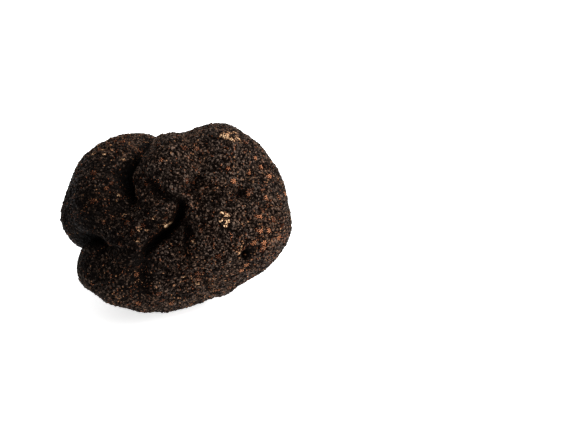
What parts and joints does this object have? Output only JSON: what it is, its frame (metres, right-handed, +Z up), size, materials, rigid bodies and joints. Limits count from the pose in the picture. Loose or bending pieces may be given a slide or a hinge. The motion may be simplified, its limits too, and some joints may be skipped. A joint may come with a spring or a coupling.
{
  "type": "black truffle",
  "caption": "Whole black truffle: a lumpy, lobed fruiting body with deep folds, covered in low polygonal warts, lying on a small flat spot.",
  "frame": {"origin": "on the surface that the truffle lies on, under the middle of its box", "axes": "+X along the truffle's longest way, +Z up, -Y towards the side with the three folds"},
  "size_m": [0.0766, 0.058, 0.0611],
  "materials": {
    "peridium": "matte black-brown warty rind with rusty brown grooves"
  },
  "bodies": {
    "root": {"truffle": "peridium"}
  },
  "joints": []
}
